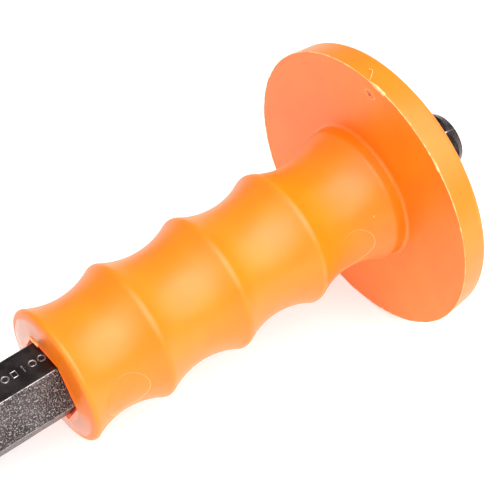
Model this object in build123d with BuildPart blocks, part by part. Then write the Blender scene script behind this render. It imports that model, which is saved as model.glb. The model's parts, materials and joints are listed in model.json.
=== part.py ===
"""Hexagonal cold chisel with a push-on hand guard, lying on its guard's rim and its blade.

Row frame, millimetres: +Z up, the floor at Z = 0 under the middle of the tool, +X from the
struck head towards the cutting edge. The tool's own axis leans down towards the blade.
"""
import os
from math import atan2, cos, sin, sqrt, tan, radians

from build123d import *

# Chisel: one forging from hexagonal bar
bar_across_flats = 19.0
overall_length = 300.0
edge_width = 25.0
blade_thickness = 4.0            # at the shoulder of the ground bevels
edge_land = 0.4                  # flat left along the cutting edge
bevel_half_angle = 30.0
taper_length = 70.0              # from the cutting edge to the full hexagon
taper_power = 1.3                # 1 is a straight wedge; more eases it into the bar
taper_steps = 8
head_face_diameter = 15.4
head_chamfer_height = 5.0
head_edge_radius = 1.0

# Size marks: a row of sunk figures on the upper flat of the bar
mark_height = 2.3
mark_stroke = 0.45
mark_depth = 0.3
mark_pitch = 2.6
marks_from_grip = 1.0            # from the grip's mouth to the middle of the first figure
mark_row = "ring ring bar square ring bar bar square ring square bar ring".split()

# Hand guard: one soft moulding, a grip with finger scallops and a disc
head_stand = 24.0                # head of the chisel beyond the back of the disc
disc_diameter = 84.5
disc_thickness = 8.2
disc_draft = 0.6                 # the rim is smaller by this at the back, in radius
disc_back_radius = 1.5
grip_length = 102.1              # from the front of the disc to the mouth
collar_length = 3.7
collar_fillet = 1.0
rib_diameter = 39.5              # before the ribs are rounded
valley_diameter = 32.8
scallop_pitch = 24.7
full_scallops = 3
mouth_diameter = 39.0            # before the lip is rounded
lip_setback = 1.2                # the lip stands this far back from the mouth's middle
rib_radius = 2.3
lip_radius = 1.2
bore_chamfer = 1.0
bore_clearance = 0.05            # each side of the bar

# Stations along the tool's axis, from the cutting edge
bar_half = bar_across_flats / 2
bar_corner = bar_across_flats / sqrt(3)
blade_half = blade_thickness / 2
bevel_length = (blade_half - edge_land / 2) / tan(radians(bevel_half_angle))
disc_back = overall_length - head_stand
disc_front = disc_back - disc_thickness
mouth = disc_front - grip_length
disc_radius = disc_diameter / 2
head_face_radius = head_face_diameter / 2
bore_corner = bar_corner + bore_clearance * 2 / sqrt(3)
lead_corner = bore_corner + bore_chamfer * 2 / sqrt(3)


def taper_section(share):
    """Half thickness and half width of the forged taper; share is 0 at the bevels, 1 at the bar."""
    eased = 1 - (1 - share) ** taper_power
    half_thickness = blade_half + (bar_half - blade_half) * eased
    half_width = edge_width / 2 + (bar_corner - edge_width / 2) * eased
    return half_thickness, half_width


sections = [(0.0, edge_land / 2, edge_width / 2)]
for step in range(taper_steps + 1):
    share = step / taper_steps
    sections.append((bevel_length + share * (taper_length - bevel_length), *taper_section(share)))

# The tool lies on the disc's front rim and on the blade, so its lean follows from both
lean = min(atan2(disc_radius - half_thickness, disc_front - station)
           for station, half_thickness, half_width in sections)
edge_x = (overall_length * cos(lean) + (head_face_radius - edge_land / 2) * sin(lean)) / 2
edge_z = disc_radius * cos(lean) - disc_front * sin(lean)

# Across the tool at the cutting edge: its X is the upper side, its Z runs to the head
across = Plane(origin=(edge_x, 0, edge_z), x_dir=(sin(lean), 0, cos(lean)), z_dir=(-cos(lean), 0, sin(lean)))
# Along the tool: its X is the station, its Y the height over the axis
along = Plane(origin=across.origin, x_dir=across.z_dir, z_dir=across.y_dir)
tool_axis = Axis(across.origin, across.z_dir)
upper_flat = Plane(
    origin=across.origin + across.x_dir * bar_half, x_dir=across.z_dir, z_dir=across.x_dir)


with BuildPart() as chisel:
    # Forged taper and ground bevels: flattened hexagons whose side faces keep their slope
    for station, half_thickness, half_width in sections:
        with BuildSketch(across.offset(station)):
            flat = half_width - half_thickness / sqrt(3)
            Polygon(
                (half_thickness, flat), (0, half_width), (-half_thickness, flat),
                (-half_thickness, -flat), (0, -half_width), (half_thickness, -flat),
                align=None,
            )
    loft(ruled=True)
    # Bar, with flats above and below
    with BuildSketch(across.offset(taper_length)):
        RegularPolygon(bar_corner, 6, rotation=30)
    extrude(amount=overall_length - taper_length)
    # Struck head: the bar's end turned to a cone with a rounded face
    envelope = max(edge_width, bar_across_flats)
    with BuildSketch(along):
        with BuildLine():
            Polyline(
                (-1, 0), (-1, envelope), (overall_length - head_chamfer_height, envelope),
                (overall_length - head_chamfer_height, bar_corner),
                (overall_length, head_face_radius), (overall_length, 0), close=True,
            )
        make_face()
        fillet(vertices().group_by(Axis.X)[-1].sort_by(Axis.Y)[-1], head_edge_radius)
    revolve(axis=tool_axis, mode=Mode.INTERSECT)
    # Size marks
    for index, figure in enumerate(mark_row):
        place = mouth - marks_from_grip - index * mark_pitch
        with BuildSketch(upper_flat):
            with Locations((place, 0)):
                if figure == "ring":
                    Circle(mark_height / 2)
                    Circle(mark_height / 2 - mark_stroke, mode=Mode.SUBTRACT)
                elif figure == "square":
                    Rectangle(mark_height * 0.8, mark_height)
                    Rectangle(mark_height * 0.8 - 2 * mark_stroke, mark_height - 2 * mark_stroke,
                              mode=Mode.SUBTRACT)
                else:
                    Rectangle(mark_stroke, mark_height)
        extrude(amount=-mark_depth, mode=Mode.SUBTRACT)

with BuildPart() as hand_guard:
    # Half section, turned about the tool's axis
    rib_height = rib_diameter / 2
    valley_height = valley_diameter / 2
    ribs = [(disc_front - collar_length - index * scallop_pitch, rib_height)
            for index in range(full_scallops + 1)]
    lip = (mouth + lip_setback, mouth_diameter / 2)
    back_rim = (disc_back, disc_radius - disc_draft)
    collar_foot = (disc_front, rib_height)
    with BuildSketch(along):
        with BuildLine():
            Polyline(
                (mouth, 0), (disc_back, 0), back_rim, (disc_front, disc_radius), collar_foot, ribs[0])
            for near, far in zip(ribs, ribs[1:]):
                ThreePointArc(near, ((near[0] + far[0]) / 2, valley_height), far)
            ThreePointArc(ribs[-1], ((ribs[-1][0] + lip[0]) / 2, valley_height), lip)
            Polyline(lip, (mouth, lead_corner), (mouth, 0))
        make_face()

        def corner(station, height):
            """The corner of the half section at this station and height."""
            return vertices().sort_by_distance((station, height, 0))[0]

        fillet([corner(*rib) for rib in ribs], rib_radius)
        fillet(corner(*lip), lip_radius)
        fillet(corner(*collar_foot), collar_fillet)
        fillet(corner(*back_rim), disc_back_radius)
    revolve(axis=tool_axis)
    # Hexagonal bore with a lead-in at each end
    with BuildSketch(across.offset(mouth)):
        RegularPolygon(bore_corner, 6, rotation=30)
    extrude(amount=disc_back - mouth, mode=Mode.SUBTRACT)
    for end, inward in ((mouth, bore_chamfer), (disc_back, -bore_chamfer)):
        with BuildSketch(across.offset(end)):
            RegularPolygon(lead_corner, 6, rotation=30)
        with BuildSketch(across.offset(end + inward)):
            RegularPolygon(bore_corner, 6, rotation=30)
        loft(ruled=True, mode=Mode.SUBTRACT)

os.makedirs("parts", exist_ok=True)
chisel.part.label = "chisel"
export_step(chisel.part, "parts/chisel.step")
hand_guard.part.label = "hand_guard"
export_step(hand_guard.part, "parts/hand_guard.step")
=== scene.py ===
"""Looks of a hexagonal cold chisel with an orange hand guard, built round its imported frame.

Every piece is drawn along the tool's own line: x is the upper side, y the row's y, and z the
station, from 0 at the cutting edge to the struck face. set_down then lays it in the row frame.
"""
import json
from math import atan2, ceil, cos, hypot, pi, radians, sin, sqrt, tan

import bmesh
import bpy
import numpy as np
from mathutils import Matrix, Quaternion, Vector, noise
from mathutils.kdtree import KDTree


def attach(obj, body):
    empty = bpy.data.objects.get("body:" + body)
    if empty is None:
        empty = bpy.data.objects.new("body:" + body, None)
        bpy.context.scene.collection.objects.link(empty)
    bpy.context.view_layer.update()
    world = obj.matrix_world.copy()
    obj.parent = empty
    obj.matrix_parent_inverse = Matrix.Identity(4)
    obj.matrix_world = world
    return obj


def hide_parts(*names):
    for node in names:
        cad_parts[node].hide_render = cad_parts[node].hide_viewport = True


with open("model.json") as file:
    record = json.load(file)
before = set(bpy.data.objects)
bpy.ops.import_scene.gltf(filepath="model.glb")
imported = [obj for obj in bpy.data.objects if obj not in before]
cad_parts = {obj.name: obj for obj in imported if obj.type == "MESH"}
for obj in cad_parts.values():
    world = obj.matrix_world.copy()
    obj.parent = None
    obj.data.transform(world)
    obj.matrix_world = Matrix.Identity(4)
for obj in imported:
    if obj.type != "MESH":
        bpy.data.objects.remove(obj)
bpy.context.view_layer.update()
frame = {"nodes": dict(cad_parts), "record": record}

MM = 0.001

# ---- Chisel -----------------------------------------------------------------------------
# One forging from 19 mm hexagonal bar: drawn to a wedge at one end and turned to a cone at
# the struck end. Shot-blasted, dipped in black lacquer, then the two bevels are ground.

mounts = {mount["name"]: mount for mount in frame["record"]["mounts"]}
edge_centre = Vector(mounts["cutting_edge"]["pos_m"])
head_centre = Vector(mounts["struck_face"]["pos_m"])
inside_cad = 0.002 * MM           # how far both ends stay inside the CAD's
overall_length = (head_centre - edge_centre).length - inside_cad
towards_head = (head_centre - edge_centre).normalized()
sideways = Vector((0, 1, 0))
upwards = sideways.cross(towards_head)
tool_axes = Matrix((upwards, sideways, towards_head)).transposed()
set_down = Matrix.Translation(edge_centre) @ tool_axes.to_4x4()

bar_across_flats = 19 * MM
bar_edge_radius = 0.75 * MM
edge_width = 25 * MM
edge_land = 0.4 * MM
blade_thickness = 4 * MM
bevel_half_angle = 30
taper_length = 70 * MM
taper_power = 1.3
head_face_diameter = 15.4 * MM
head_chamfer_height = 5 * MM
head_edge_radius = 1 * MM
slim_rounding = 0.7               # greatest rounding of a long edge, as a share of the half thickness
forging_waves = 0.10 * MM         # deepest hollow that forging leaves in a flat
wave_size = 9 * MM
rubbed_edge = 0.7                 # how bare the middles of the long edges are, 1 being bare
rubbed_mark = 0.8                 # and the insides of the size marks
row_spacing = 1.5 * MM
flat_steps = 12                   # across each flat
corner_steps = 5                  # round each long edge
bevel_rows = 4
cone_rows = 5
round_rows = 6                    # round the edge of the struck face
face_rows = 9                     # from that edge in towards the middle
face_middle = 0.08                # the last of them, as a share of the first

bar_half = bar_across_flats / 2
bar_corner = bar_across_flats / sqrt(3)
blade_half = blade_thickness / 2
land_half = edge_land / 2
bevel_length = (blade_half - land_half) / tan(radians(bevel_half_angle))


def between(low, high, share):
    return low + (high - low) * share


def steps(low, high, count):
    """count + 1 evenly spaced values from low to high."""
    return [between(low, high, step / count) for step in range(count + 1)]


def hexagon_loop(half_thickness, half_width, edge_radius):
    """Points round a flattened hexagon with rounded corners, from the upper flat towards +y."""
    flat = half_width - half_thickness / sqrt(3)
    corners = [(half_thickness, flat), (0, half_width), (-half_thickness, flat)]
    corners += [(-x, -y) for x, y in corners]
    inset = edge_radius / cos(radians(30))
    arcs = []
    for index, (x, y) in enumerate(corners):
        bisector = radians(30 + 60 * index)
        x -= inset * cos(bisector)
        y -= inset * sin(bisector)
        arcs.append([(x + edge_radius * cos(turn), y + edge_radius * sin(turn))
                     for turn in steps(bisector - pi / 6, bisector + pi / 6, corner_steps)])
    loop = []
    for arc, following in zip(arcs, arcs[1:] + arcs[:1]):
        loop += arc
        loop += [(between(arc[-1][0], following[0][0], step / flat_steps),
                  between(arc[-1][1], following[0][1], step / flat_steps))
                 for step in range(1, flat_steps)]
    return np.array(loop)


def row(loop, station):
    """The loop's points as an array of x, y and station; station may differ from point to point."""
    return np.column_stack([loop, np.broadcast_to(station, len(loop))])


rows = []
for share in steps(0, 1, bevel_rows):
    half_thickness = between(land_half, blade_half, share)
    rows.append(row(hexagon_loop(half_thickness, edge_width / 2, slim_rounding * half_thickness),
                    between(inside_cad, bevel_length, share)))
taper_rows = ceil((taper_length - bevel_length) / row_spacing)
for share in steps(0, 1, taper_rows)[1:]:
    eased = 1 - (1 - share) ** taper_power
    half_thickness = between(blade_half, bar_half, eased)
    half_width = between(edge_width / 2, bar_corner, eased)
    edge_radius = min(bar_edge_radius, slim_rounding * half_thickness)
    rows.append(row(hexagon_loop(half_thickness, half_width, edge_radius),
                    between(bevel_length, taper_length, share)))

# The bar runs up to the cone of the head, which it meets further along where it is slimmer
bar_loop = hexagon_loop(bar_half, bar_corner, bar_edge_radius)
reach = np.hypot(*bar_loop.T)
outward = bar_loop / reach[:, None]
cone_slope = (bar_corner - head_face_diameter / 2) / head_chamfer_height
cone_start = overall_length - head_chamfer_height + (bar_corner - reach) / cone_slope
bar_rows = ceil((overall_length - head_chamfer_height - taper_length) / row_spacing)
for share in steps(0, 1, bar_rows)[1:]:
    rows.append(row(bar_loop, between(taper_length, cone_start, share)))

# Cone, rounded edge and struck face
cone_angle = atan2(cone_slope, 1)
round_centre = (overall_length - head_edge_radius,
                head_face_diameter / 2 - head_edge_radius * tan(radians(45) - cone_angle / 2))
cone_end = (round_centre[0] + head_edge_radius * sin(cone_angle),
            round_centre[1] + head_edge_radius * cos(cone_angle))
for share in steps(0, 1, cone_rows)[1:]:
    radius = between(reach, cone_end[1], share)
    rows.append(row(outward * radius[:, None], between(cone_start, cone_end[0], share)))
for turn in steps(cone_angle, pi / 2, round_rows)[1:]:
    radius = round_centre[1] + head_edge_radius * cos(turn)
    rows.append(row(outward * radius, round_centre[0] + head_edge_radius * sin(turn)))
for share in steps(1, face_middle, face_rows)[1:]:
    rows.append(row(outward * round_centre[1] * share, overall_length))


def skinned(name, rows, set_down):
    """A closed mesh over rows of points, capped at both ends and laid in the row frame."""
    points = np.vstack(rows)
    around = len(rows[0])
    faces = []
    for start in range(0, len(points) - around, around):
        for index in range(around):
            after = (index + 1) % around
            faces.append((start + index, start + after, start + around + after, start + around + index))
    faces.append(range(around - 1, -1, -1))
    faces.append(range(len(points) - around, len(points)))
    mesh = bpy.data.meshes.new(name)
    mesh.from_pydata(points.tolist(), [], faces)
    mesh.transform(set_down)
    made = bpy.data.objects.new(name, mesh)
    bpy.context.scene.collection.objects.link(made)
    return made


def hollow(point, size, depth):
    """A shallow hollow between 0 and depth, varying over about size."""
    return depth * (0.5 + 0.5 * noise.noise(Vector(point) / size, noise_basis="PERLIN_NEW"))


for points in rows[bevel_rows + 2:-(round_rows + face_rows + 1)]:
    for point in points:
        from_axis = Vector(point[:2]).normalized()
        point[:2] -= from_axis * hollow(point, wave_size, forging_waves)

chisel = skinned("chisel_forging", rows, set_down)
# The long edges are rubbed bare, most along their middles; the rest keeps its lacquer
edge_wear = ([0, 0, rubbed_edge, rubbed_edge, 0, 0] + [0] * (flat_steps - 1)) * 6
unworn_rows = round_rows + face_rows - 1
row_wear = np.array(edge_wear * (len(rows) - unworn_rows) + [0] * unworn_rows * len(bar_loop), dtype=float)


class Wire:
    """A socket in a node tree. Sums written with it become Math nodes; node() adds any other node."""

    def __init__(self, tree, socket=None):
        self.tree = tree
        self.socket = socket

    def node(self, kind, settings=None, **values):
        """A node of this kind: settings are set first, then sockets, by name or number, from values."""
        made = self.tree.nodes.new(kind)
        for name, value in (settings or {}).items():
            setattr(made, name, value)
        for name, value in values.items():
            self.plug(value, self.find(made.inputs, name))
        return Wire(self.tree, next((s for s in made.outputs if s.enabled), None))

    def find(self, sockets, name):
        """The socket of that identifier, name or number, with _ standing for a space."""
        if name[-1].isdigit() and name[:-1] == "n":
            return sockets[int(name[1:])]
        for socket in sockets:
            if socket.identifier == name:
                return socket
        return sockets[name.replace("_", " ")]

    def plug(self, value, socket):
        if isinstance(value, Wire):
            self.tree.links.new(value.socket, socket)
        else:
            socket.default_value = value

    def other(self, name):
        """Another output of the node that this wire comes from."""
        return Wire(self.tree, self.find(self.socket.node.outputs, name))

    def sum(self, operation, *values):
        made = self.tree.nodes.new("ShaderNodeMath")
        made.operation = operation
        for value, socket in zip(values, made.inputs):
            self.plug(value, socket)
        return Wire(self.tree, made.outputs[0])

    def __add__(self, other): return self.sum("ADD", self, other)
    def __radd__(self, other): return self.sum("ADD", other, self)
    def __sub__(self, other): return self.sum("SUBTRACT", self, other)
    def __rsub__(self, other): return self.sum("SUBTRACT", other, self)
    def __mul__(self, other): return self.sum("MULTIPLY", self, other)
    def __rmul__(self, other): return self.sum("MULTIPLY", other, self)
    def __truediv__(self, other): return self.sum("DIVIDE", self, other)
    def __rtruediv__(self, other): return self.sum("DIVIDE", other, self)
    def __gt__(self, other): return self.sum("GREATER_THAN", self, other)

    def stored(self, name, output="Fac"):
        """What the mesh stores under that name, for a material."""
        return self.node("ShaderNodeAttribute", {"attribute_name": name}).other(output)

    def ramp(self, low, high, to_low=0.0, to_high=1.0):
        """Eases from to_low to to_high as this value goes from low to high."""
        return self.node("ShaderNodeMapRange", {"interpolation_type": "SMOOTHSTEP"}, Value=self,
                         From_Min=low, From_Max=high, To_Min=to_low, To_Max=to_high)

    def noise(self, where, size, detail=2.0, roughness=0.5):
        """Noise from 0 to 1 whose features are about size metres."""
        return self.node("ShaderNodeTexNoise", Vector=where, Scale=1 / size, Detail=detail,
                         Roughness=roughness)

    def blend(self, low, high):
        """The colour low where this wire is 0, and high where it is 1."""
        return self.node("ShaderNodeMix", {"data_type": "RGBA"}, Factor_Float=self, A_Color=low,
                         B_Color=high)


def surface(name, **uniform):
    """A new material: its start wire, its Principled shader's node and a plug for the shader's sockets."""
    made = bpy.data.materials.new(name)
    made.use_nodes = True
    tree = made.node_tree
    shader = tree.nodes["Principled BSDF"]
    for socket, value in uniform.items():
        shader.inputs[socket.replace("_", " ")].default_value = value
    return made, Wire(tree), shader


forged, start, shader = surface("forged_steel_in_lacquer", Metallic=1.0, Specular_Tint=(0.75, 0.7, 0.7, 1))
place = start.stored("along_tool", "Vector")
rubbed = start.stored("rubbed")
normal = start.node("ShaderNodeTexCoord").other("Normal")
level = start.node("ShaderNodeVectorMath", {"operation": "DOT_PRODUCT"}, n0=normal, n1=upwards).other("Value")
station = start.node("ShaderNodeSeparateXYZ", Vector=place).other("Z")
# Shot-blasted skin: coarse on the four flats that lean, nearly smooth on the upper and lower ones
# and on the head
leaning = start.sum("ABSOLUTE", level).ramp(0.9, 0.7) * station.ramp(276 * MM, 268 * MM)
coarse = start.noise(place, 0.42 * MM, 1.5, 0.6)
fine = start.noise(place, 0.4 * MM, 2.0)
grain = coarse * (leaning * 0.9 + 0.1) + fine * 0.15
relief = start.node("ShaderNodeBump", Strength=1.0, Distance=0.4 * MM, Height=grain)
shade = start.noise(place, 5 * MM, 4.0, 0.6)
skin = shade.ramp(0.35, 0.7).blend((0.05, 0.04, 0.038, 1), (0.10, 0.084, 0.084, 1))
scuffed = start.sum("MAXIMUM", rubbed * start.noise(place, 1.5 * MM, 3.0, 0.7).ramp(0.25, 0.55),
                    coarse.ramp(0.5, 0.64) * leaning * 0.36)
start.plug(scuffed.blend(skin, (0.55, 0.53, 0.52, 1)), shader.inputs["Base Color"])
start.plug(0.2 + 0.15 * shade, shader.inputs["Roughness"])
start.plug(relief, shader.inputs["Normal"])

ground, start, shader = surface("ground_steel", Metallic=1.0)
place = start.stored("along_tool", "Vector")
stretched = start.node("ShaderNodeVectorMath", {"operation": "MULTIPLY"}, n0=place, n1=(1, 0.04, 1))
lines = start.noise(stretched, 0.12 * MM, 2.0)
bright = lines.ramp(0.3, 0.7).blend((0.36, 0.35, 0.34, 1), (0.55, 0.54, 0.52, 1))
relief = start.node("ShaderNodeBump", Strength=0.4, Distance=0.05 * MM, Height=lines)
start.plug(bright, shader.inputs["Base Color"])
start.plug(0.22 + 0.2 * lines, shader.inputs["Roughness"])
start.plug(relief, shader.inputs["Normal"])

chisel.data.materials.append(forged)
chisel.data.materials.append(ground)
around = len(bar_loop)
for face in chisel.data.polygons[:bevel_rows * around]:
    face.material_index = 1

# ---- Size marks --------------------------------------------------------------------------
# A row of plain figures struck into the upper flat while the bar is hot: rings, squares and
# strokes, starting under the guard's mouth and running towards the blade.

mark_height = 2.3 * MM
mark_stroke = 0.45 * MM
mark_depth = 0.3 * MM
mark_pitch = 2.6 * MM
marks_from_grip = 1.0 * MM        # from the grip's mouth to the middle of the first figure
weld_distance = 0.004 * MM        # points nearer than this after the cut become one
same_place = 0.01 * MM            # a point that the cut left where it was
mark_row = "ring ring bar square ring bar bar square ring square bar ring".split()

lift = set_down.inverted()
guard_points = np.array([lift @ v.co for v in frame["nodes"]["hand_guard"].data.vertices])
mouth = guard_points[:, 2].min()
disc_back = guard_points[:, 2].max()
disc_radius = np.hypot(guard_points[:, 0], guard_points[:, 1]).max()


def finished(geometry, given):
    """The end of a tree: real geometry, shaded smooth, in the piece's own material."""
    whole = geometry.node("GeometryNodeRealizeInstances", Geometry=geometry)
    smooth = geometry.node("GeometryNodeSetShadeSmooth", Geometry=whole)
    return geometry.node("GeometryNodeSetMaterial", Geometry=smooth, Material=given["Finish"])


def grown(name, start_mesh, inputs, build):
    """start_mesh passed through a new Geometry Nodes tree, and baked to a plain mesh.

    inputs gives each named input its socket type and value; build draws the tree."""
    tree = bpy.data.node_groups.new(name, "GeometryNodeTree")
    tree.interface.new_socket("Geometry", in_out="INPUT", socket_type="NodeSocketGeometry")
    for label, (kind, value) in inputs.items():
        tree.interface.new_socket(label, in_out="INPUT", socket_type="NodeSocket" + kind)
    tree.interface.new_socket("Geometry", in_out="OUTPUT", socket_type="NodeSocketGeometry")
    entry = tree.nodes.new("NodeGroupInput")
    wires = {socket.name: Wire(tree, socket) for socket in entry.outputs if socket.name}
    grown_geometry = build(wires)
    tree.links.new(grown_geometry.socket, tree.nodes.new("NodeGroupOutput").inputs[0])
    worked = bpy.data.objects.new(name, start_mesh)
    bpy.context.scene.collection.objects.link(worked)
    modifier = worked.modifiers.new(name, "NODES")
    modifier.node_group = tree
    for item in tree.interface.items_tree:
        if item.in_out == "INPUT" and item.name in inputs:
            modifier[item.identifier] = inputs[item.name][1]
    bpy.context.view_layer.update()
    evaluated = worked.evaluated_get(bpy.context.evaluated_depsgraph_get())
    baked = bpy.data.meshes.new_from_object(evaluated)
    baked.name = name
    finish = next(made for made in baked.materials if made)
    baked.materials.clear()
    baked.materials.append(finish)
    worked.modifiers.clear()
    worked.data = baked
    return worked


places = bpy.data.meshes.new("mark_places")
places.from_pydata([(bar_half, 0, mouth - marks_from_grip - index * mark_pitch)
                    for index in range(len(mark_row))], [], [])
figure = places.attributes.new("figure", "INT", "POINT")
figure.data.foreach_set("value", [("ring", "square", "bar").index(kind) for kind in mark_row])


def mark_tree(given):
    """A cutter for each figure, its outline swept with a stroke's section, at each point."""
    geometry, height, stroke = given["Geometry"], given["Height"], given["Stroke"]
    section = geometry.node("GeometryNodeCurvePrimitiveCircle", Resolution=12, Radius=given["Depth"])
    ring = geometry.node("GeometryNodeCurvePrimitiveCircle", Resolution=28, Radius=(height - stroke) / 2)
    square = geometry.node("GeometryNodeCurvePrimitiveQuadrilateral", Width=height - stroke,
                           Height=height * 0.8 - stroke)
    half = height / 2
    bar = geometry.node(
        "GeometryNodeCurvePrimitiveLine",
        Start=geometry.node("ShaderNodeCombineXYZ", X=half * -1),
        End=geometry.node("ShaderNodeCombineXYZ", X=half))
    figures = geometry.tree.nodes.new("GeometryNodeGeometryToInstance")
    for outline in (bar, square, ring):
        cutter = geometry.node("GeometryNodeCurveToMesh", Curve=outline, Profile_Curve=section,
                               Fill_Caps=True)
        geometry.tree.links.new(cutter.socket, figures.inputs[0])
    chosen = geometry.node("GeometryNodeInputNamedAttribute", {"data_type": "INT"}, Name="figure")
    # Cutters are drawn flat; they stand on the flat with their height across the tool
    turned = (pi / 2, 0, pi / 2)
    placed = geometry.node(
        "GeometryNodeInstanceOnPoints", Points=geometry,
        Instance=Wire(geometry.tree, figures.outputs[0]), Pick_Instance=True,
        Instance_Index=chosen, Rotation=turned)
    return finished(placed, given)


mark_cutters = grown("mark_cutters", places, {
    "Height": ("Float", mark_height), "Stroke": ("Float", mark_stroke),
    "Depth": ("Float", mark_depth), "Finish": ("Material", forged)}, mark_tree)
mark_cutters.data.transform(set_down)

cut = chisel.modifiers.new("marks", "BOOLEAN")
cut.operation = "DIFFERENCE"
cut.solver = "EXACT"
cut.object = mark_cutters
bpy.context.view_layer.update()
evaluated = chisel.evaluated_get(bpy.context.evaluated_depsgraph_get())
marked = bpy.data.meshes.new_from_object(evaluated)
chisel.modifiers.clear()
chisel.data = marked
bpy.data.objects.remove(mark_cutters)
tidied = bmesh.new()
tidied.from_mesh(marked)
bmesh.ops.remove_doubles(tidied, verts=tidied.verts, dist=weld_distance)
bmesh.ops.dissolve_degenerate(tidied, edges=tidied.edges, dist=weld_distance / 2)
tidied.to_mesh(marked)
tidied.free()


def measure(mesh):
    """Stores every point's place along the tool line, for materials to be laid out by."""
    points = np.array([lift @ vertex.co for vertex in mesh.vertices], dtype=np.float32)
    mesh.attributes.new("along_tool", "FLOAT_VECTOR", "POINT").data.foreach_set("vector", points.ravel())


def measure_moved(piece):
    """Lays a piece drawn along the tool line in the row frame, and stores its places along the line."""
    piece.data.transform(set_down)
    measure(piece.data)


measure(marked)
before = KDTree(len(row_wear))
for index, point in enumerate(np.vstack(rows)):
    before.insert(point, index)
before.balance()
wear = []
for vertex in marked.vertices:
    nearest, index, apart = before.find(lift @ vertex.co)
    in_a_mark = apart > same_place and (lift @ vertex.co).x < bar_half - forging_waves - mark_depth / 5
    wear.append(rubbed_mark if in_a_mark else row_wear[index] if apart < same_place else 0)
marked.attributes.new("rubbed", "FLOAT", "POINT").data.foreach_set("value", wear)
marked.shade_smooth()
marked.set_sharp_from_angle(angle=radians(28))

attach(chisel, "chisel")
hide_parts("chisel")

# ---- Hand guard --------------------------------------------------------------------------
# One moulding in soft orange plastic, pushed on to the bar from its head: a grip with finger
# scallops, a short collar and a wide disc that keeps the hammer off the hand.

disc_thickness = 8.2 * MM
rim_radius = disc_radius - 0.3 * MM      # the flash on its front edge makes up the rest
disc_draft = 0.6 * MM
rim_edge_radius = 0.25 * MM
disc_back_radius = 1.5 * MM
collar_length = 3.7 * MM
collar_fillet = 1.0 * MM
rib_height = 39.5 / 2 * MM
valley_height = 32.8 / 2 * MM
scallop_pitch = 24.7 * MM
full_scallops = 3
rib_radius = 2.3 * MM
mouth_height = 39.0 / 2 * MM
mouth_radius = 1.2 * MM
lip_setback = 1.2 * MM                    # of the lip's corner from the bore's edge
bore_chamfer = 1.0 * MM
bore_clearance = 0.05 * MM
round_from = 16 * MM                      # height where the hexagon of the bore has blended out
around_guard = 300                        # steps round the guard, a multiple of 12

disc_front = disc_back - disc_thickness
bore_height = (bar_half + bore_clearance) * 2 / sqrt(3)
lead_height = bore_height + bore_chamfer * 2 / sqrt(3)


def circle_through(a, b, c):
    """Centre and radius of the circle through three points."""
    ax, ay, bx, by = a[0] - c[0], a[1] - c[1], b[0] - c[0], b[1] - c[1]
    twice = 2 * (ax * by - ay * bx)
    x = (by * (ax * ax + ay * ay) - ay * (bx * bx + by * by)) / twice
    y = (ax * (bx * bx + by * by) - bx * (ax * ax + ay * ay)) / twice
    return (c[0] + x, c[1] + y), hypot(x, y)


def rolled_between(one, other, radius):
    """Centre, on the axis side, of a ball of this radius resting against two circles."""
    (ax, ay), first = one
    (bx, by), second = other
    first, second = first + radius, second + radius
    apart = hypot(bx - ax, by - ay)
    along = (first ** 2 - second ** 2 + apart ** 2) / (2 * apart)
    off = sqrt(first ** 2 - along ** 2)
    ux, uy = (bx - ax) / apart, (by - ay) / apart
    sign = 1 if ux > 0 else -1
    return (ax + ux * along + sign * uy * off, ay + uy * along - sign * ux * off)


def arc(centre, radius, start, end, spacing):
    """Points along an arc whose angles are in radians, both ends included."""
    count = max(2, ceil(abs(end - start) * radius / spacing))
    return [(centre[0] + radius * cos(turn), centre[1] + radius * sin(turn))
            for turn in steps(start, end, count)]


def line(a, b, spacing):
    """Points along a straight line, both ends included."""
    count = max(1, ceil(hypot(b[0] - a[0], b[1] - a[1]) / spacing))
    return [(between(a[0], b[0], share), between(a[1], b[1], share))
            for share in steps(0, 1, count)]


def heading(centre, towards):
    """The angle at which one point sees another."""
    return atan2(towards[1] - centre[1], towards[0] - centre[0])


# Half section as (station, height) points, from the bore out over the mouth to the disc's back
ribs = [(disc_front - collar_length - index * scallop_pitch, rib_height)
        for index in range(full_scallops + 1)]
ends = ribs + [(mouth + lip_setback, mouth_height)]
valleys = [circle_through(near, ((near[0] + far[0]) / 2, valley_height), far)
           for near, far in zip(ends, ends[1:])]
crests = [rolled_between(near, far, rib_radius) for near, far in zip(valleys, valleys[1:])]
(valley_station, valley_centre), valley_radius = valleys[0]
crest_drop = valley_centre - rib_height + rib_radius
crest_reach = sqrt((valley_radius + rib_radius) ** 2 - crest_drop ** 2)
collar_crest = (valley_station + crest_reach, rib_height - rib_radius)
# The lip's ball rests against the last scallop and the sloping face of the mouth
face_slope = atan2(lip_setback, mouth_height - lead_height)
face_normal = (-cos(face_slope), sin(face_slope))


def lip_gap(height):
    """How far a ball touching the mouth's face at this height is from touching the last scallop."""
    station = mouth + (height - lead_height) * tan(face_slope)
    centre = (station - face_normal[0] * mouth_radius, height - face_normal[1] * mouth_radius)
    (valley_station, valley_centre), valley_radius = valleys[-1]
    return hypot(centre[0] - valley_station, centre[1] - valley_centre) - valley_radius - mouth_radius, centre


low, high = lead_height, mouth_height
halvings = 40
for halving in range(halvings):
    if lip_gap((low + high) / 2)[0] > 0:
        low = (low + high) / 2
    else:
        high = (low + high) / 2
lip = lip_gap(low)[1]

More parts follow.
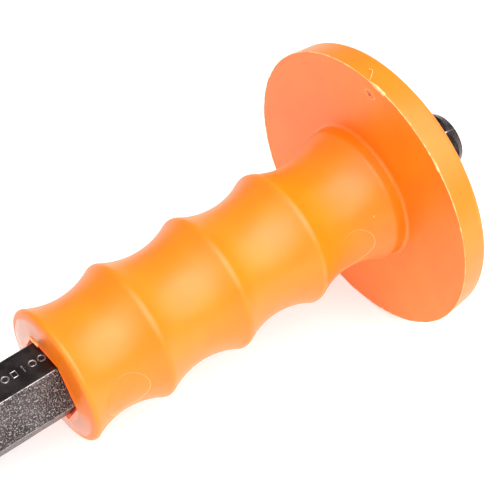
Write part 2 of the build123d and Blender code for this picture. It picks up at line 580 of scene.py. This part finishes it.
lip_start = (lip[0] + face_normal[0] * mouth_radius, lip[1] + face_normal[1] * mouth_radius)
section = line((mouth, lead_height), lip_start, 0.7 * MM)
centres = [collar_crest] + crests + [lip]
radii = [rib_radius] * (len(crests) + 1) + [mouth_radius]
section += arc(lip, mouth_radius, pi - face_slope, heading(lip, valleys[-1][0]), 0.25 * MM)[1:]
for index in range(len(valleys) - 1, -1, -1):
    centre, radius = valleys[index]
    # from the side nearer the mouth to the side nearer the disc, round the bottom
    begin = heading(centre, centres[index + 1]) % (2 * pi)
    finish = heading(centre, centres[index]) % (2 * pi)
    section += arc(centre, radius, begin, finish, 0.6 * MM)[1:]
    crest = centres[index]
    last = pi / 2 if index == 0 else heading(crest, valleys[index - 1][0])
    section += arc(crest, rib_radius, heading(crest, centre), last, 0.3 * MM)[1:]
section += line((collar_crest[0], rib_height), (disc_front - collar_fillet, rib_height), 0.5 * MM)[1:]
fillet_centre = (disc_front - collar_fillet, rib_height + collar_fillet)
section += arc(fillet_centre, collar_fillet, -pi / 2, 0, 0.2 * MM)[1:]
rim_centre = (disc_front + rim_edge_radius, rim_radius - rim_edge_radius)
section += line((disc_front, fillet_centre[1]), (disc_front, rim_centre[1]), 1.2 * MM)[1:]
section += arc(rim_centre, rim_edge_radius, pi, pi / 2, 0.1 * MM)[1:]
back_height = rim_radius - disc_draft
back_centre = (disc_back - disc_back_radius, back_height - disc_back_radius)
section += line((rim_centre[0], rim_radius), (back_centre[0], back_height), 0.8 * MM)[1:]
section += arc(back_centre, disc_back_radius, pi / 2, 0, 0.3 * MM)[1:]
section += line((disc_back, back_centre[1]), (disc_back, lead_height), 1.5 * MM)[1:]
bore = line((disc_back, lead_height), (disc_back - bore_chamfer, bore_height), 0.5 * MM)[1:]
bore += line((disc_back - bore_chamfer, bore_height), (mouth + bore_chamfer, bore_height), 10 * MM)[1:]
bore += line((mouth + bore_chamfer, bore_height), (mouth, lead_height), 0.5 * MM)[1:-1]


def squareness(height):
    """1 where the guard follows the hexagonal bore, 0 where it is round."""
    share = min(1, max(0, (height - round_from) / (lead_height - round_from)))
    return share * share * (3 - 2 * share)


outline = bpy.data.meshes.new("guard_outline")
outline.from_pydata([(height, 0, station) for station, height in section + bore], [], [])
outline.attributes.new("hexagonal", "FLOAT", "POINT").data.foreach_set(
    "value", [squareness(height) for station, height in section] + [1.0] * len(bore))


def turned_tree(given):
    """Spins the outline's points into a closed skin, then gives it a moulding's soft unevenness."""
    geometry = given["Geometry"]
    count = geometry.node("GeometryNodeAttributeDomainSize", Geometry=geometry).other("Point_Count")
    around = given["Steps around"]
    grid = geometry.node("GeometryNodeMeshGrid", Vertices_X=count + 1, Vertices_Y=around + 1)
    number = geometry.node("GeometryNodeInputIndex")
    across = geometry.sum("FLOOR", (number + 0.5) / (around + 1))
    angle = (number - across * (around + 1)) / around * (2 * pi)
    point = geometry.sum("MODULO", across, count)
    spot = geometry.node("GeometryNodeInputPosition")
    sampled = geometry.node("GeometryNodeSampleIndex", {"data_type": "FLOAT_VECTOR", "clamp": True},
                            Geometry=geometry, Value=spot, Index=point)
    hexagonal = geometry.node(
        "GeometryNodeSampleIndex", {"data_type": "FLOAT", "clamp": True}, Geometry=geometry,
        Value=geometry.node("GeometryNodeInputNamedAttribute", {"data_type": "FLOAT"}, Name="hexagonal"),
        Index=point)
    parts = geometry.node("ShaderNodeSeparateXYZ", Vector=sampled)
    # A hexagon's height, as a share of its corners', falls to cos 30 degrees at the flats
    within = geometry.sum("MODULO", angle, pi / 3) - pi / 6
    share = cos(pi / 6) / geometry.sum("COSINE", geometry.sum("ABSOLUTE", within) * -1 + pi / 6)
    height = parts.other("X") * (1 - hexagonal * (1 - share))
    placed = geometry.node("ShaderNodeCombineXYZ", X=height * geometry.sum("COSINE", angle),
                           Y=height * geometry.sum("SINE", angle), Z=parts.other("Z"))
    skin = geometry.node("GeometryNodeSetPosition", Geometry=grid, Position=placed)
    joined = geometry.node("GeometryNodeMergeByDistance", Geometry=skin, Distance=1e-6)
    normal = geometry.node("GeometryNodeInputNormal")
    here = geometry.node("GeometryNodeInputPosition")
    wave = geometry.node("ShaderNodeTexNoise", {"noise_dimensions": "4D"}, Vector=here,
                         W=given["Seed"], Scale=1 / (14 * MM), Detail=1.0) - 0.5
    push = geometry.node("ShaderNodeVectorMath", {"operation": "SCALE"}, n0=normal,
                         Scale=wave * given["Unevenness"])
    uneven = geometry.node("GeometryNodeSetPosition", Geometry=joined, Offset=push)
    kept = geometry.node("GeometryNodeStoreNamedAttribute", {"data_type": "FLOAT_VECTOR"},
                         Geometry=uneven, Name="along_tool", Value=here)
    return finished(kept, given)


moulding, start, shader = surface("orange_plastic", IOR=1.5, Coat_Roughness=0.12, Emission_Strength=1.0)
place = start.stored("along_tool", "Vector")
mottle = start.noise(place, 9 * MM, 3.0)
body = mottle.ramp(0.3, 0.7).blend((0.96, 0.195, 0.0015, 1), (0.98, 0.215, 0.0025, 1))
# The mouth's end face was trimmed with a hot blade, which left it glazed and a little deeper in
# colour, but for its upper corner towards +y
spot = start.node("ShaderNodeSeparateXYZ", Vector=place)
from_axis = start.node("ShaderNodeVectorMath", {"operation": "LENGTH"}, n0=start.node(
    "ShaderNodeCombineXYZ", X=spot, Y=spot.other("Y"))).other("Value")
trimmed = spot.other("Z").ramp(mouth + 1.4 * MM, mouth + 1.2 * MM) * from_axis.ramp(17.1 * MM, 16.7 * MM)
towards_corner = (spot * 0.7 + spot.other("Y") * 0.7) / from_axis
trimmed = trimmed * towards_corner.ramp(0.85, 0.45)
# The ejector pads share this plastic; their edges are thin and paler
border = start.stored("border")
body = (border * 2.0).blend(body, (1.0, 0.50, 0.20, 1))
start.plug(trimmed.blend(body, (0.78, 0.19, 0.04, 1)), shader.inputs["Base Color"])
start.plug(trimmed * 0.7, shader.inputs["Coat Weight"])
# Painted glow: emission paints a deep red into the bore's mouth, standing in for light through the plastic's
# wall
painted_glow = from_axis.ramp(12.2 * MM, 11.9 * MM) * spot.other("Z").ramp(mouth + 8 * MM, mouth)
start.plug(painted_glow.blend((0, 0, 0, 1), (0.40, 0.018, 0.004, 1)), shader.inputs["Emission Color"])
start.plug(0.36 + 0.08 * start.noise(place, 3 * MM, 4.0), shader.inputs["Roughness"])
satin = start.noise(place, 0.25 * MM, 2.0)
relief = start.node("ShaderNodeBump", Strength=0.15, Distance=0.05 * MM, Height=satin)
start.plug(relief, shader.inputs["Normal"])

guard = grown("guard_moulding", outline, {
    "Steps around": ("Int", around_guard), "Unevenness": ("Float", 0.12 * MM),
    "Seed": ("Float", 3.0), "Finish": ("Material", moulding)}, turned_tree)
guard_shape = guard.data.copy()            # still along the tool line, for the pads to be laid on
guard.data.transform(set_down)
guard.data.set_sharp_from_angle(angle=radians(35))

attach(guard, "guard")
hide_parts("hand_guard")

# ---- Moulding flash ----------------------------------------------------------------------
# Thin plastic squeezed out where the mould halves met: a ragged thread round the disc's front
# edge, a torn flap and a loose curl at its top, and a shred left at the mouth. Paler than the body.

flash_thickness = 0.09 * MM               # half of the thread's usual width
flap_from, flap_to = 3.6, 11.8            # degrees from the top, towards the row's +y
chip_from, chip_to = 39, 47
flap_thickness = 0.36 * MM                # added to the thread's half thickness where the flap is
chip_thickness = 0.18 * MM                # and where the chip is
sideways_wander = 0.2 * MM                # of the thread, in and out
along_wander = 0.25 * MM
flash_steps = 1200                        # round the disc


def on_tool(height, degrees, station):
    """A point by its height over the axis, its angle from the top towards +y, and its station."""
    return (height * cos(radians(degrees)), height * sin(radians(degrees)), station)


shreds = [
    ([on_tool(rim_radius + 0.02 * MM, 3.6, disc_front + 0.3 * MM),
      on_tool(rim_radius + 0.10 * MM, 3.0, disc_front + 1.2 * MM),
      on_tool(rim_radius + 0.04 * MM, 2.2, disc_front + 1.9 * MM),
      on_tool(rim_radius - 0.02 * MM, 1.1, disc_front + 2.9 * MM),
      on_tool(rim_radius - 0.02 * MM, 0.2, disc_front + 3.3 * MM),
      on_tool(rim_radius - 0.02 * MM, -0.8, disc_front + 2.9 * MM)], 0.13 * MM),
    ([(10.9 * MM, -6.3 * MM, mouth), (10.7 * MM, -5.0 * MM, mouth - 0.15 * MM),
      (10.8 * MM, -3.7 * MM, mouth - 0.05 * MM), (10.6 * MM, -2.6 * MM, mouth)], 0.32 * MM),
]
threads = bpy.data.meshes.new("flash_threads")
thread_points = [point for points, thickness in shreds for point in points]
thread_edges = []
for points, thickness in shreds:
    first = thread_points.index(points[0])
    thread_edges += [(first + step, first + step + 1) for step in range(len(points) - 1)]
threads.from_pydata(thread_points, thread_edges, [])
threads.attributes.new("thickness", "FLOAT", "POINT").data.foreach_set(
    "value", [thickness for points, thickness in shreds for point in points])


def flash_tree(given):
    """A ragged thread round the front edge, joined to the loose shreds given as lines."""
    geometry, thickness = given["Geometry"], given["Thickness"]
    ring = geometry.node("GeometryNodeCurvePrimitiveCircle", Resolution=flash_steps, Radius=rim_radius)
    degrees = geometry.node("GeometryNodeInputIndex") * (360 / flash_steps)
    spot = geometry.node("GeometryNodeInputPosition")
    ragged = geometry.node("ShaderNodeTexNoise", {"noise_dimensions": "4D"}, Vector=spot, W=given["Seed"],
                           Scale=1 / (2.2 * MM), Detail=3.0, Roughness=0.7)
    wander = geometry.node("ShaderNodeTexNoise", {"noise_dimensions": "4D"}, Vector=spot,
                           W=given["Seed"] + 7.0, Scale=1 / (5 * MM), Detail=2.0) - 0.5
    flap = degrees.ramp(flap_from, flap_from + 4) * degrees.ramp(flap_to + 0.4, flap_to)
    chip = degrees.ramp(chip_from, chip_from + 3) * degrees.ramp(chip_to, chip_to - 2)
    half = thickness * (0.6 + 1.3 * ragged.ramp(0.35, 0.65)) + flap * flap_thickness + chip * chip_thickness
    outermost = disc_radius - 0.03 * MM - half
    out = geometry.sum("MINIMUM", rim_radius + wander * sideways_wander, outermost)
    station = disc_front + wander * along_wander + flap * (flap_thickness / 3)
    turn = degrees * (pi / 180)
    placed = geometry.node("ShaderNodeCombineXYZ", X=out * geometry.sum("COSINE", turn),
                           Y=out * geometry.sum("SINE", turn), Z=station)
    thread = geometry.node("GeometryNodeSetCurveRadius", Curve=geometry.node(
        "GeometryNodeSetPosition", Geometry=ring, Position=placed), Radius=half)
    lines = geometry.node("GeometryNodeSetCurveRadius", Curve=geometry.node(
        "GeometryNodeMeshToCurve", Mesh=geometry), Radius=geometry.node(
        "GeometryNodeInputNamedAttribute", {"data_type": "FLOAT"}, Name="thickness"))
    curls = geometry.node("GeometryNodeResampleCurve", Curve=geometry.node(
        "GeometryNodeCurveSplineType", {"spline_type": "CATMULL_ROM"}, Curve=lines), Count=60)
    both = geometry.tree.nodes.new("GeometryNodeJoinGeometry")
    for strand in (curls, thread):
        geometry.tree.links.new(strand.socket, both.inputs[0])
    section = geometry.node("GeometryNodeCurvePrimitiveCircle", Resolution=8, Radius=1.0)
    swept = geometry.node("GeometryNodeCurveToMesh", Curve=Wire(geometry.tree, both.outputs[0]),
                          Profile_Curve=section, Scale=geometry.node("GeometryNodeInputRadius"),
                          Fill_Caps=True)
    return finished(swept, given)


pale, start, shader = surface("pale_orange_flash", IOR=1.5)
place = start.stored("along_tool", "Vector")
streaks = start.noise(place, 1.2 * MM, 3.0)
paler = streaks.ramp(0.3, 0.7).blend((0.98, 0.42, 0.11, 1), (1.0, 0.6, 0.3, 1))
start.plug(paler, shader.inputs["Base Color"])
start.plug(0.28 + 0.2 * streaks, shader.inputs["Roughness"])

flash = grown("moulding_flash", threads, {
    "Thickness": ("Float", flash_thickness), "Seed": ("Float", 5.0),
    "Finish": ("Material", pale)}, flash_tree)
measure_moved(flash)
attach(flash, "guard")

# ---- Ejector pads ------------------------------------------------------------------------
# Round marks where the mould's ejector pins stood, one pair on each side of the grip. Each is a
# film of plastic slightly proud of the grip, with a crisp edge.

pad_radius = 6.4 * MM
pad_step = 0.15 * MM
pad_edge_width = 0.35 * MM
pads_from_disc = (15.8 * MM, 89.9 * MM)
pad_edge_drop = 1.4                       # of the edge, as a share of the step: just into the grip
spokes, rings = 97, 12
beside = 40 * MM                          # from the axis to where the pads start their drop


def pad_tree(given):
    """Flat round grids beside the guard, dropped on to it and lifted by the step."""
    geometry, radius, step = given["Geometry"], given["Radius"], given["Step"]
    grid = geometry.node("GeometryNodeMeshGrid", Vertices_X=rings, Vertices_Y=spokes)
    number = geometry.node("GeometryNodeInputIndex")
    ring = geometry.sum("FLOOR", (number + 0.5) / spokes)
    turn = (number - ring * spokes) * (2 * pi / (spokes - 1))
    border = ring > rings - 1.5
    film = geometry.sum("MINIMUM", ring / (rings - 2), 1.0) * (radius - pad_edge_width)
    out = film + border * pad_edge_width
    disc = geometry.node("GeometryNodeSetPosition", Geometry=grid, Position=geometry.node(
        "ShaderNodeCombineXYZ", X=out * geometry.sum("COSINE", turn), Z=out * geometry.sum("SINE", turn)))
    marked_disc = geometry.node("GeometryNodeStoreNamedAttribute", {"data_type": "FLOAT"},
                                Geometry=disc, Name="border", Value=border)
    spot_number = geometry.node("GeometryNodeInputIndex")
    side = geometry.sum("MODULO", spot_number, 2) * 2 - 1
    far = (spot_number > 1.5) * (pads_from_disc[1] - pads_from_disc[0]) + pads_from_disc[0]
    centres = geometry.node("GeometryNodePoints", Count=4, Position=geometry.node(
        "ShaderNodeCombineXYZ", Y=side * beside, Z=far * -1 + disc_front))
    placed = geometry.node("GeometryNodeRealizeInstances", Geometry=geometry.node(
        "GeometryNodeInstanceOnPoints", Points=centres, Instance=marked_disc))
    here = geometry.node("GeometryNodeInputPosition")
    sign = geometry.sum("SIGN", geometry.node("ShaderNodeSeparateXYZ", Vector=here).other("Y"))
    hit = geometry.node("GeometryNodeRaycast", Target_Geometry=geometry, Source_Position=here,
                        Ray_Direction=geometry.node("ShaderNodeCombineXYZ", Y=sign * -1), Ray_Length=1.0)
    edge = geometry.node("GeometryNodeInputNamedAttribute", {"data_type": "FLOAT"}, Name="border")
    rise = geometry.node("ShaderNodeVectorMath", {"operation": "SCALE"}, n0=hit.other("Hit Normal"),
                         Scale=step - edge * step * pad_edge_drop)
    lifted = geometry.node("ShaderNodeVectorMath", {"operation": "ADD"}, n0=rise,
                           n1=hit.other("Hit Position"))
    dropped = geometry.node("GeometryNodeMergeByDistance", Geometry=geometry.node(
        "GeometryNodeSetPosition", Geometry=placed, Position=lifted), Distance=0.002 * MM)
    return finished(dropped, given)


pads = grown("ejector_pads", guard_shape, {
    "Radius": ("Float", pad_radius), "Step": ("Float", pad_step), "Finish": ("Material", moulding)}, pad_tree)
measure_moved(pads)
pads.data.set_sharp_from_angle(angle=radians(30))
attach(pads, "guard")

# ---- Gate scar ---------------------------------------------------------------------------
# Where the plastic entered the mould, near the top of the disc's front face: a low irregular
# ring with a torn bead and a pit in its middle, whose dark red is painted shade that makes it
# read as deep, and a pimple of the same plastic on the grip.

scar_height, scar_angle = 37.8 * MM, 5
scar_width, scar_depth = 1.9 * MM, 1.25 * MM      # half sizes round the disc and towards the axis
scar_beads = ((1.0, 0.22 * MM), (0.32, 0.18 * MM))   # each one's size as a share, and half thickness
pimple_at = on_tool(17.5 * MM, 63, disc_front - 8.7 * MM)
pimple_radius = 0.32 * MM

scar_spot = bpy.data.meshes.new("scar_spot")
scar_spot.from_pydata([on_tool(scar_height, scar_angle, disc_front)], [], [])


def scar_tree(given):
    """A lumpy oval ring, a broken bead round a pit inside it, and a small ball elsewhere."""
    geometry = given["Geometry"]
    parts = geometry.tree.nodes.new("GeometryNodeJoinGeometry")
    spot = geometry.node("GeometryNodeInputPosition")
    lump = geometry.node("ShaderNodeTexNoise", {"noise_dimensions": "4D"}, Vector=spot, W=given["Seed"],
                         Scale=1 / (0.9 * MM), Detail=2.0)
    section = geometry.node("GeometryNodeCurvePrimitiveCircle", Resolution=10, Radius=1.0)
    for reach, half in scar_beads:
        ring = geometry.node("GeometryNodeCurvePrimitiveCircle", Resolution=72, Radius=1.0)
        where = geometry.node("ShaderNodeSeparateXYZ", Vector=spot)
        stretch = 0.8 + lump * 0.4
        oval = geometry.node("GeometryNodeSetPosition", Geometry=ring, Position=geometry.node(
            "ShaderNodeCombineXYZ", X=where.other("X") * stretch * (given["Depth"] * reach),
            Y=where.other("Y") * stretch * (given["Width"] * reach)))
        bead = geometry.node("GeometryNodeCurveToMesh", Curve=oval, Profile_Curve=section,
                             Scale=half * (0.4 + 1.2 * lump), Fill_Caps=True)
        geometry.tree.links.new(bead.socket, parts.inputs[0])
    placed = geometry.node(
        "GeometryNodeInstanceOnPoints", Points=geometry, Instance=Wire(geometry.tree, parts.outputs[0]),
        Rotation=(0, 0, radians(scar_angle)))
    ball = geometry.node("GeometryNodeTransform", Geometry=geometry.node(
        "GeometryNodeMeshIcoSphere", Radius=pimple_radius, Subdivisions=4), Translation=pimple_at)
    both = geometry.tree.nodes.new("GeometryNodeJoinGeometry")
    for part in (placed, ball):
        geometry.tree.links.new(part.socket, both.inputs[0])
    return finished(Wire(geometry.tree, both.outputs[0]), given)


torn_plastic_with_pit_shade, start, shader = surface("torn_orange_plastic", IOR=1.5)
place = start.stored("along_tool", "Vector")
from_pit = start.node("ShaderNodeVectorMath", {"operation": "DISTANCE"}, n0=place,
                      n1=on_tool(scar_height, scar_angle, disc_front)).other("Value")
# Painted shade: the pit's middle is painted dark red as if deep; further out the torn plastic is paler
start.plug(from_pit.ramp(0.3 * MM, 0.75 * MM).blend((0.4, 0.02, 0.01, 1), (1.0, 0.38, 0.14, 1)),
           shader.inputs["Base Color"])
start.plug(0.3 + 0.2 * start.noise(place, 0.8 * MM), shader.inputs["Roughness"])

scar = grown("gate_scar", scar_spot, {
    "Width": ("Float", scar_width), "Depth": ("Float", scar_depth), "Seed": ("Float", 2.0),
    "Finish": ("Material", torn_plastic_with_pit_shade)}, scar_tree)
measure_moved(scar)
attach(scar, "guard")

# ---- Floor, light and camera -------------------------------------------------------------
# A white table top in a pale room, under one large softbox and a broad weaker fill beside it.

floor_reach = 4                           # metres, each way
floor_glow = 0.52
room_light = 0.38

floor_mesh = bpy.data.meshes.new("floor")
corners = [(-floor_reach, -floor_reach, 0), (floor_reach, -floor_reach, 0),
           (floor_reach, floor_reach, 0), (-floor_reach, floor_reach, 0)]
floor_mesh.from_pydata(corners, [], [(0, 1, 2, 3)])
floor = bpy.data.objects.new("floor", floor_mesh)
bpy.context.scene.collection.objects.link(floor)
table_top, start, shader = surface("white_table_top", Roughness=0.6)
where = start.node("ShaderNodeTexCoord").other("Object")
white = start.noise(where, 0.2, 2.0).blend((0.62, 0.62, 0.62, 1), (0.64, 0.64, 0.64, 1))
start.plug(white, shader.inputs["Base Color"])
shader.inputs["Emission Color"].default_value = (1, 1, 1, 1)
shader.inputs["Emission Strength"].default_value = floor_glow
floor_mesh.materials.append(table_top)

world = bpy.data.worlds.new("studio")
bpy.context.scene.world = world
world.use_nodes = True
start = Wire(world.node_tree)
backdrop = world.node_tree.nodes["Background"]
backdrop.inputs["Color"].default_value = (1, 1, 1, 1)
direction = start.node("ShaderNodeTexCoord").other("Generated")


def panel(azimuth, elevation, edge, core, brightness):
    """A round soft light in the sky, from core to edge degrees off that azimuth from +x and elevation."""
    flat = cos(radians(elevation))
    centre = (cos(radians(azimuth)) * flat, sin(radians(azimuth)) * flat, sin(radians(elevation)))
    facing = start.node("ShaderNodeVectorMath", {"operation": "DOT_PRODUCT"}, n0=direction, n1=centre)
    return facing.other("Value").ramp(cos(radians(edge)), cos(radians(core)), 0.0, brightness)


softbox = panel(azimuth=111.3, elevation=57, edge=38.9, core=31.1, brightness=3.24)
fill = panel(azimuth=41.7, elevation=67, edge=45.6, core=1, brightness=1.98)
start.plug(softbox + fill + room_light, backdrop.inputs["Strength"])

camera_azimuth = 137.41       # from -y towards +x
camera_elevation = 42.04
camera_roll = 6.23
camera_distance = 392.74 * MM
camera_lens = 105.97
aim_from_disc = 37.40 * MM    # down the grip
aim = set_down @ Vector((0.93 * MM, -1.30 * MM, disc_front - aim_from_disc))
across, rise = radians(camera_azimuth), radians(camera_elevation)
back = Vector((sin(across) * cos(rise), -cos(across) * cos(rise), sin(rise)))
camera_data = bpy.data.cameras.new("camera")
camera_data.sensor_width = 36
camera_data.lens = camera_lens
camera_data.clip_start = 0.01
camera = bpy.data.objects.new("camera", camera_data)
camera.location = aim + back * camera_distance
camera.rotation_mode = "QUATERNION"
camera.rotation_quaternion = (-back).to_track_quat("-Z", "Y") @ Quaternion((0, 0, 1), radians(camera_roll))
bpy.context.scene.collection.objects.link(camera)
bpy.context.scene.camera = camera
bpy.context.scene.view_settings.view_transform = "Standard"
